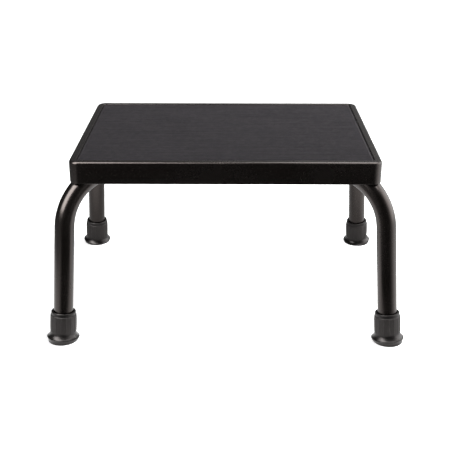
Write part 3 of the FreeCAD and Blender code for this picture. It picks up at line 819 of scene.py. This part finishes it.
def build_weld():
    """Rippled beads along the seams where the coped tubes meet the whole one."""
    s = sizes()
    bm = bmesh.new()
    centre = Vector((0, 0, run_height()))
    crossing = run_inward(WHOLE_DIAGONAL[0])
    per_ripple = 6
    seam_steps = 720
    fall = 0.11
    for corner in COPED_CORNERS:
        outward = -run_inward(corner)
        for side in (1, -1):
            bisector = (outward + crossing * side).normalized()
            reach = s.tube_radius / math.sin(bisector.angle(outward))
            seam = []
            for step in range(seam_steps + 1):
                turn = math.radians(-90 + 180 * step / seam_steps)
                seam.append(centre + bisector * (reach * math.cos(turn))
                            + UP * (s.tube_radius * math.sin(turn)))
            gone = [0.0]
            for before, after in zip(seam, seam[1:]):
                gone.append(gone[-1] + (after - before).length)
            ripples = round(gone[-1] / s.weld_ripple)
            outlines = []
            spot = 0
            for step in range(ripples * per_ripple + 1):
                target = gone[-1] * step / (ripples * per_ripple)
                while spot < len(gone) - 2 and gone[spot + 1] < target:
                    spot += 1
                span = gone[spot + 1] - gone[spot]
                point = seam[spot].lerp(seam[spot + 1], (target - gone[spot]) / span)
                along = (seam[min(spot + 2, seam_steps)] - seam[max(spot - 1, 0)]).normalized()
                out = (point - centre).normalized()
                out = (out - along * out.dot(along)).normalized()
                phase = (step % per_ripple) / per_ripple
                swell = 1 - fall * phase * phase
                ring = round_ring(point, out, along.cross(out), s.weld_radius * swell, 14)
                tilt = s.weld_ripple * 0.45 / s.weld_radius
                outlines.append([item + along * (tilt * (item - point).dot(out)) for item in ring])
            loft(bm, outlines, cap_first=True, cap_last=True)
    new_piece("weld_bead_centre", bm, weld_coat(), "weld_coat", "centre_weld")


# --- rubber tips ---

def tip_profile():
    """Half section of a tip from the middle of its foot, up outside and down its bore."""
    s = sizes()
    bore = s.tube_radius
    barrel = bore + s.tip_wall
    collar = bore + s.tip_collar_wall
    shoulder = s.tip_height - s.tip_collar
    lip = 0.0006
    lip_round = lip * 0.75
    barrel_round = 0.0012
    mouth_round = 0.0011
    below = -s.tip_floor / 2
    flare_steps = 14
    barrel_steps = 12
    rows = [(0.0, below), (s.contact_radius * 0.5, below), (s.contact_radius, below),
            (s.contact_radius, 0.0)]
    slope = Vector((s.flare_radius - s.contact_radius, s.flare_height)).normalized()
    side = Vector((s.flare_radius, s.flare_height)) - slope * lip
    rows += [(side.x * 0.5 + s.contact_radius * 0.5, side.y * 0.5), (side.x, side.y)]
    rows += arc((s.flare_radius - lip_round, s.flare_height), lip_round, -10, 95, 4)
    first = Vector((rows[-1][0] - 0.0002, rows[-1][1]))
    last = Vector((barrel, s.flare_top))
    chord = last - first
    inward = Vector((-chord.y, chord.x)).normalized()
    sag = s.flare_curve - math.sqrt(s.flare_curve ** 2 - (chord.length / 2) ** 2)
    for step in range(1, flare_steps + 1):
        part = step / flare_steps
        rows.append(tuple(first + chord * part + inward * (sag * 4 * part * (1 - part))))
    for step in range(1, barrel_steps):
        rows.append((barrel, s.flare_top + (shoulder - barrel_round - s.flare_top) * step / barrel_steps))
    rows += arc((barrel - barrel_round, shoulder - barrel_round), barrel_round, 0, 70, 4)
    rows += [(collar, shoulder + 0.0006), (collar, shoulder + 0.0018)]
    rows += arc((collar - mouth_round, s.tip_height - mouth_round), mouth_round, 0, 90, 5)
    rows += [(bore + mouth_round, s.tip_height - 0.0001), (bore + 0.0002, s.tip_height - 0.0016),
             (bore, s.tip_height - 0.0024), (bore, s.tip_floor + 0.002), (bore, s.tip_floor),
             (bore * 0.5, s.tip_floor), (0.0, s.tip_floor)]
    return rows


def flute(turn):
    """Share of the flute's height at an angle round the tip."""
    step = 2 * math.pi / sizes().flutes
    off = abs((turn + step / 2) % step - step / 2) / step
    return blend_step(0.085, 0.0, off)


def build_tip(corner):
    s = sizes()
    bm = bmesh.new()
    rows = [bm.verts.new((radius, 0, up)) for radius, up in tip_profile()]
    edges = [bm.edges.new(pair) for pair in zip(rows, rows[1:])]
    bmesh.ops.spin(bm, geom=rows + edges, cent=(0, 0, 0), axis=UP, angle=2 * math.pi, steps=240,
                   use_merge=True)
    bmesh.ops.remove_doubles(bm, verts=bm.verts, dist=1e-6)
    zone = bm.verts.layers.float_color.new("zone")
    shoulder = s.tip_height - s.tip_collar
    barrel = s.tube_radius + s.tip_wall
    belly_height = 0.00022
    for vert in bm.verts:
        out = math.hypot(vert.co.x, vert.co.y)
        up = vert.co.z
        flare = 1 - blend_step(s.flare_top - 0.0010, s.flare_top + 0.0014, up)
        # the zone's green marks the collar, which the tip's material paints near black as painted shade at
        # the mouth
        collar = blend_step(shoulder - 0.0002, shoulder + 0.0006, up)
        vert[zone] = (flare, collar, 0.0, 1.0)
        if out > barrel - 0.0014 and s.flare_top - 0.0006 < up < shoulder + 0.0001:
            rise = blend_step(s.flare_top - 0.0006, s.flare_top + 0.001, up)
            rise *= 1 - blend_step(shoulder - 0.0016, shoulder - 0.0002, up)
            belly = math.sin(math.pi * (up - s.flare_top) / (shoulder - s.flare_top)) * belly_height
            grow = 1 + (rise * s.flute_height * flute(math.atan2(vert.co.y, vert.co.x)) + belly) / out
            vert.co.x *= grow
            vert.co.y *= grow
    up = leg_up(corner)
    turn = UP.rotation_difference(up).to_matrix().to_4x4()
    front = Matrix.Rotation(math.radians(-90), 4, "Z")
    bmesh.ops.transform(bm, matrix=Matrix.Translation(leg_foot(corner)) @ turn @ front, verts=bm.verts)
    cut = bmesh.ops.bisect_plane(bm, geom=bm.verts[:] + bm.edges[:] + bm.faces[:], dist=1e-7,
                                 plane_co=(0, 0, 0), plane_no=-UP, clear_outer=True)["geom_cut"]
    ring = loop_verts([item for item in cut if isinstance(item, bmesh.types.BMEdge)])
    middle = sum((vert.co for vert in ring), Vector()) / len(ring)
    rim = [vert.co - middle for vert in ring]
    groove = 0.0007
    for groove_from in (0.90, 0.70, 0.50):
        for inward, depth in ((0.0, 0.0), (0.015, groove), (0.07, groove), (0.085, 0.0)):
            ring = next_ring(bm, ring, [middle + point * (groove_from - inward) + UP * depth
                                        for point in rim])
    bm.faces.new(ring)
    new_piece("tip_" + corner, bm, tip_material(), "tip_rubber", f"foot_tip_{corner}")


# --- stiffeners and fixings ---

def build_stiffener(side_name):
    """A folded hat section with rounded folds and spot welds along its flanges."""
    s = sizes()
    low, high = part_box(f"stiffener_{side_name}")
    middle = (low.x + high.x) / 2
    brim = (high.x - low.x) / 2
    crown = s.hat_crown / 2
    flange = high.z - s.hat_steel
    bm = bmesh.new()
    line = [(-brim, flange), (-crown, flange), (-crown, low.z),
            (crown, low.z), (crown, flange), (brim, flange)]
    verts = [bm.verts.new((middle + out, low.y, up)) for out, up in line]
    for pair in zip(verts, verts[1:]):
        bm.edges.new(pair)
    fold = 0.0016
    bevel(bm, verts[1:-1], fold, 5, affect="VERTICES")
    fresh = verts_in(bmesh.ops.extrude_edge_only(bm, edges=bm.edges[:])["geom"])
    bmesh.ops.translate(bm, verts=fresh, vec=(0, high.y - low.y, 0))
    upright = 1e-4
    for face in bm.faces:
        face.normal_update()
        normal = face.normal
        out = face.calc_center_median().x - middle
        if normal.z > upright or (abs(normal.z) <= upright and normal.x * out < 0):
            face.normal_flip()
    bmesh.ops.solidify(bm, geom=bm.faces[:], thickness=s.hat_steel)
    spots = 5
    spot_margin = 0.018
    spot_rows = [(0.0032, 0.0001), (0.0029, -0.00022), (0.0023, -0.0002), (0.0017, 0.00006)]
    for side in (-1, 1):
        for number in range(spots):
            y = (high.y - spot_margin) * (2 * number / (spots - 1) - 1)
            spot = Vector((middle + side * (crown + brim) / 2, y, flange))
            loft(bm, [round_ring(spot + UP * up, Vector((1, 0, 0)), Vector((0, 1, 0)), radius, 24)
                      for radius, up in spot_rows], cap_last=True, cap_first=True)
    new_piece(f"hat_stiffener_{side_name}", bm, stiffener_coat(), "stiffener_coat",
              f"stiffener_{side_name}", weighted=True)


def hexagon_reach(turn, across):
    """Distance from the middle of a hexagon to its side at an angle."""
    off = (turn + math.pi / 6) % (math.pi / 3) - math.pi / 6
    return across / 2 / math.cos(off)


def build_fixing(corner):
    """A chamfered hexagon bolt with a rolled thread, and the saddle washer between it and the tube."""
    s = sizes()
    low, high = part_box(f"leg_bolt_{corner}")
    centre = Vector(((low.x + high.x) / 2, (low.y + high.y) / 2, 0))
    count = 48
    turns = [2 * math.pi * step / count for step in range(count)]
    bevel_start = s.head_across / 2 * 0.97

    def ring(radii, heights):
        return [centre + Vector((math.cos(turn) * radius, math.sin(turn) * radius, height))
                for turn, radius, height in zip(turns, radii, heights)]

    def level(radius, height):
        return ring([radius] * count, [height] * count)

    hexes = [hexagon_reach(turn, s.head_across) for turn in turns]
    head_top = low.z + s.head_height
    drop = [(radius - bevel_start) * math.tan(math.radians(30)) for radius in hexes]
    outlines = [level(0.0022, low.z + 0.0003), level(0.0027, low.z), level(bevel_start * 0.985, low.z),
                ring(hexes, [low.z + 0.0001 + fall for fall in drop]),
                ring(hexes, [head_top - 0.0004 - fall * 0.35 for fall in drop]),
                level(bevel_start * 0.96, head_top - 0.0003), level(bevel_start * 0.95, head_top),
                level(s.bolt_radius, head_top)]
    plain_shank = 0.012
    pitch = 0.001
    plain_end = 0.0006
    up = head_top + plain_shank
    outlines.append(level(s.bolt_radius, up))
    while up + pitch < high.z - plain_end:
        outlines.append(level(s.bolt_radius * 0.87, up + pitch * 0.45))
        outlines.append(level(s.bolt_radius, up + pitch * 0.9))
        outlines.append(level(s.bolt_radius, up + pitch))
        up += pitch
    outlines += [level(s.bolt_radius * 0.85, high.z - 0.0002), level(s.bolt_radius * 0.8, high.z)]
    bm = bmesh.new()
    loft(bm, outlines, cap_first=True, cap_last=True)
    new_piece("bolt_" + corner, bm, zinc_material(), "zinc_steel", f"leg_bolt_{corner}", weighted=True)

    washer_low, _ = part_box(f"saddle_washer_{corner}")
    inward = run_inward(corner)
    across = UP.cross(inward)
    hole = s.bolt_radius + s.bolt_clearance

    def saddle(radius):
        points = level(radius, 0.0)
        for point in points:
            off = (point - centre).dot(across)
            point.z = run_height() - math.sqrt(s.tube_radius ** 2 - off * off)
        return points

    flat = washer_low.z
    rim = s.washer_radius
    hole_break, foot_break, rim_break = 0.0002, 0.0004, 0.0003
    outlines = [level(hole, flat + hole_break), level(hole + hole_break, flat),
                level(rim - foot_break, flat), level(rim, flat + foot_break),
                [point - UP * rim_break for point in saddle(rim)], saddle(rim - rim_break)]
    outlines += [saddle(rim - (rim - hole) * part) for part in (0.3, 0.6, 0.9)]
    outlines.append(saddle(hole))
    bm = bmesh.new()
    loft(bm, outlines, close=True)
    new_piece("washer_" + corner, bm, zinc_material(), "zinc_steel", f"saddle_washer_{corner}",
              weighted=True)


# --- stage ---

def build_world():
    """Soft studio surround: dark in front and at the left, dim behind and bright at the right."""
    scene = bpy.context.scene
    world = bpy.data.worlds.new("Studio surround")
    world.use_nodes = True
    world.node_tree.nodes.clear()
    scene.world = world
    tree = Tree(world.node_tree)
    parts = tree.add("ShaderNodeSeparateXYZ",
                     Vector=tree.add("ShaderNodeTexCoord").outputs["Generated"]).outputs
    azimuth = tree.math("ARCTAN2", parts["X"], parts["Y"])
    around = tree.between(azimuth, -math.pi, math.pi)
    around.node.interpolation_type = "LINEAR"
    ramp = tree.add("ShaderNodeValToRGB", Fac=around)
    stops = ((-180, 0.02), (-100, 0.04), (-60, 0.06), (-25, 0.10), (0, 0.18), (18, 0.36), (40, 0.95),
             (60, 4.2), (100, 4.0), (128, 0.5), (150, 0.03), (180, 0.02))
    band = ramp.color_ramp.elements
    band.remove(band[-1])
    for degrees, light in stops:
        where = (degrees + 180) / 360
        stop = band.new(where) if where else band[0]
        stop.color = (light, light, light, 1.0)
    overhead = tree.between(parts["Z"], 0.55, 0.92)
    sky = tree.mix(overhead, ramp.outputs["Color"], (0.25, 0.25, 0.25, 1.0))
    back = tree.add("ShaderNodeBackground", Color=sky, Strength=1.0)
    plain = tree.add("ShaderNodeBackground", Color=(1.0, 1.0, 1.0, 1.0), Strength=1.0)
    seen = tree.add("ShaderNodeLightPath").outputs["Is Camera Ray"]
    shown = tree.add("ShaderNodeMixShader", i0=seen, i1=back.outputs[0], i2=plain.outputs[0])
    tree.add("ShaderNodeOutputWorld", Surface=shown.outputs[0])


def area_light(name, direction, distance, width, height, watts, diffuse=True, glossy=True):
    """A soft box that looks at the stool from one direction."""
    lamp = bpy.data.lights.new(name, "AREA")
    lamp.shape = "RECTANGLE"
    lamp.size = width
    lamp.size_y = height
    lamp.energy = watts
    box = new_object(name, lamp)
    aim = Vector((0, 0, 0.12))
    box.location = aim + Vector(direction).normalized() * distance
    box.rotation_euler = (aim - box.location).to_track_quat("-Z", "Y").to_euler()
    box.visible_camera = False
    box.visible_diffuse = diffuse
    box.visible_glossy = glossy


def floor_material():
    """Pale matt studio floor that glows evenly; to glossy rays alone it shows a painted reflection, bright
    round the stool and dark just before it, which polished coats mirror.
    """
    material, tree, shader, vector = new_material("Studio floor")
    if not tree:
        return material
    mottle = tree.between(tree.noise(vector, 3.0, 3.0, 0.5), 0.3, 0.7)
    pale = colours().floor
    tree.put(shader.inputs["Base Color"], tree.mix(mottle, pale, (pale[0] + 0.01,) * 3 + (1.0,)))
    tree.put(shader.inputs["Roughness"], tree.between(mottle, 0.0, 1.0, 0.85, 0.9))
    shader.inputs["Emission Color"].default_value = (1.0, 1.0, 1.0, 1.0)
    shader.inputs["Emission Strength"].default_value = 0.85
    parts = tree.add("ShaderNodeSeparateXYZ", Vector=vector).outputs
    corner_x, corner_y = 0.20, -0.145   # the fans of light open at the stool's front corners
    left = tree.between(parts["X"], -0.72, -0.40, 0.32, 1.6)
    rear = tree.between(parts["Y"], -0.05, 0.10, 1.0, 0.45)
    rear = tree.larger(rear, tree.between(parts["X"], 0.22, 0.32, 0.0, 0.8))
    ahead = tree.minus(parts["Y"], corner_y)

    def fan(beyond, dark, lit):
        """Painted reflection round a front corner, from one turn in degrees to another."""
        turn = tree.math("ARCTAN2", tree.larger(beyond, 0.0), ahead)
        return tree.between(turn, math.radians(dark), math.radians(lit), 0.03, 1.0)

    to_right = fan(tree.minus(parts["X"], corner_x), 155, 85)
    to_right = tree.times(to_right, tree.between(parts["X"], 0.22, 0.42, 1.0, 1.25))
    to_left = fan(tree.minus(-corner_x, parts["X"]), 165, 125)
    front = tree.larger(tree.larger(to_right, to_left), tree.between(parts["Y"], -0.28, -0.17))
    level = tree.times(tree.times(front, left), rear)
    # painted reflection: an emission pattern that only glossy rays see, not light from any lamp
    painted_reflection = tree.add("ShaderNodeEmission", Color=(1.0, 1.0, 1.0, 1.0), Strength=level)
    path = tree.add("ShaderNodeLightPath").outputs["Is Glossy Ray"]
    shown = tree.add("ShaderNodeMixShader", i0=path, i1=shader.outputs[0], i2=painted_reflection.outputs[0])
    output = next(node for node in tree.tree.nodes if node.type == "OUTPUT_MATERIAL")
    tree.put(output.inputs["Surface"], shown.outputs[0])
    return material


def build_floor():
    half_side = 40.0
    cells = 24
    bm = bmesh.new()
    bmesh.ops.create_grid(bm, x_segments=cells, y_segments=cells, size=half_side)
    mesh = bpy.data.meshes.new("floor")
    bm.to_mesh(mesh)
    bm.free()
    mesh.materials.append(floor_material())
    floor = new_object("floor", mesh)


def build_camera():
    lens = bpy.data.cameras.new("Camera")
    lens.lens = 72.04
    lens.sensor_width = 36.0
    lens.clip_end = 100.0
    camera = new_object("Camera", lens)
    camera.location = (0.00801, -1.20266, 0.59814)
    camera.rotation_euler = (math.radians(90 - 22.68), 0.0, 0.00786)
    bpy.context.scene.camera = camera


# --- operators, panel and the run ---

class STOOL_OT_platform(bpy.types.Operator):
    """Build the pressed steel platform with its rim, skirt and return lips"""
    bl_idname = "stool.platform"
    bl_label = "Platform"

    def execute(self, context):
        build_platform()
        return {"FINISHED"}


class STOOL_OT_tread(bpy.types.Operator):
    """Build the ribbed rubber tread in the platform's recess"""
    bl_idname = "stool.tread"
    bl_label = "Ribbed tread"

    def execute(self, context):
        build_tread()
        return {"FINISHED"}


class STOOL_OT_legs(bpy.types.Operator):
    """Build the bent leg tubes: one whole diagonal and two coped halves"""
    bl_idname = "stool.legs"
    bl_label = "Leg tubes"

    def execute(self, context):
        build_legs()
        return {"FINISHED"}


class STOOL_OT_weld(bpy.types.Operator):
    """Build the rippled weld where the tubes cross"""
    bl_idname = "stool.weld"
    bl_label = "Centre weld"

    def execute(self, context):
        build_weld()
        return {"FINISHED"}


class STOOL_OT_tips(bpy.types.Operator):
    """Build the four fluted rubber tips"""
    bl_idname = "stool.tips"
    bl_label = "Rubber tips"

    def execute(self, context):
        for corner in CORNERS:
            build_tip(corner)
        return {"FINISHED"}


class STOOL_OT_stiffeners(bpy.types.Operator):
    """Build the two folded stiffeners under the platform"""
    bl_idname = "stool.stiffeners"
    bl_label = "Stiffeners"

    def execute(self, context):
        for side_name in ("left", "right"):
            build_stiffener(side_name)
        return {"FINISHED"}


class STOOL_OT_fixings(bpy.types.Operator):
    """Build the bolts and saddle washers that hold the legs"""
    bl_idname = "stool.fixings"
    bl_label = "Bolts and washers"

    def execute(self, context):
        for corner in CORNERS:
            build_fixing(corner)
        return {"FINISHED"}


class STOOL_OT_hidden_steel(bpy.types.Operator):
    """Give the weld nuts and the discs inside the tips their zinc plate"""
    bl_idname = "stool.hidden_steel"
    bl_label = "Nuts and discs"

    def execute(self, context):
        zinc = zinc_material()
        for corner in CORNERS:
            for kind in ("tip_disc", "weld_nut"):
                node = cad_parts[f"{kind}_{corner}"]
                if not node.material_slots:
                    node.data.materials.append(zinc)
                for slot in node.material_slots:
                    slot.material = zinc
        return {"FINISHED"}


class STOOL_OT_stage(bpy.types.Operator):
    """Set up the pale floor, the soft light and the camera"""
    bl_idname = "stool.stage"
    bl_label = "Stage"

    def execute(self, context):
        context.scene.view_settings.view_transform = "Standard"
        build_world()
        build_floor()
        area_light("Left soft box", (-0.542, -0.431, 0.72), distance=1.3, width=0.80, height=1.6,
                   watts=48.3, diffuse=False)
        area_light("Overhead soft box", (0.36, 0.10, 0.92), distance=1.05, width=1.45, height=0.55,
                   watts=13.0)
        area_light("Right fill", (0.82, 0.11, 0.52), distance=0.92, width=0.5, height=0.5,
                   watts=8.0, glossy=False)
        build_camera()
        return {"FINISHED"}


OPERATORS = (STOOL_OT_platform, STOOL_OT_tread, STOOL_OT_legs, STOOL_OT_weld, STOOL_OT_tips,
             STOOL_OT_stiffeners, STOOL_OT_fixings, STOOL_OT_hidden_steel, STOOL_OT_stage)


class STOOL_PT_maker(bpy.types.Panel):
    """Lists the stool's operators"""
    bl_label = "Step stool"
    bl_idname = "STOOL_PT_maker"
    bl_space_type = "VIEW_3D"
    bl_region_type = "UI"
    bl_category = "Step stool"

    def draw(self, context):
        for operator in OPERATORS:
            self.layout.operator(operator.bl_idname)


CLASSES = (StoolSizes, StoolColours, *OPERATORS, STOOL_PT_maker)


def register():
    for kind in CLASSES:
        bpy.utils.register_class(kind)
    bpy.types.Scene.stool_sizes = PointerProperty(type=StoolSizes)
    bpy.types.Scene.stool_colours = PointerProperty(type=StoolColours)


def unregister():
    del bpy.types.Scene.stool_colours
    del bpy.types.Scene.stool_sizes
    for kind in reversed(CLASSES):
        bpy.utils.unregister_class(kind)


def main():
    register()
    for operator in OPERATORS:
        group, name = operator.bl_idname.split(".")
        getattr(getattr(bpy.ops, group), name)()


if __name__ == "__main__":
    main()
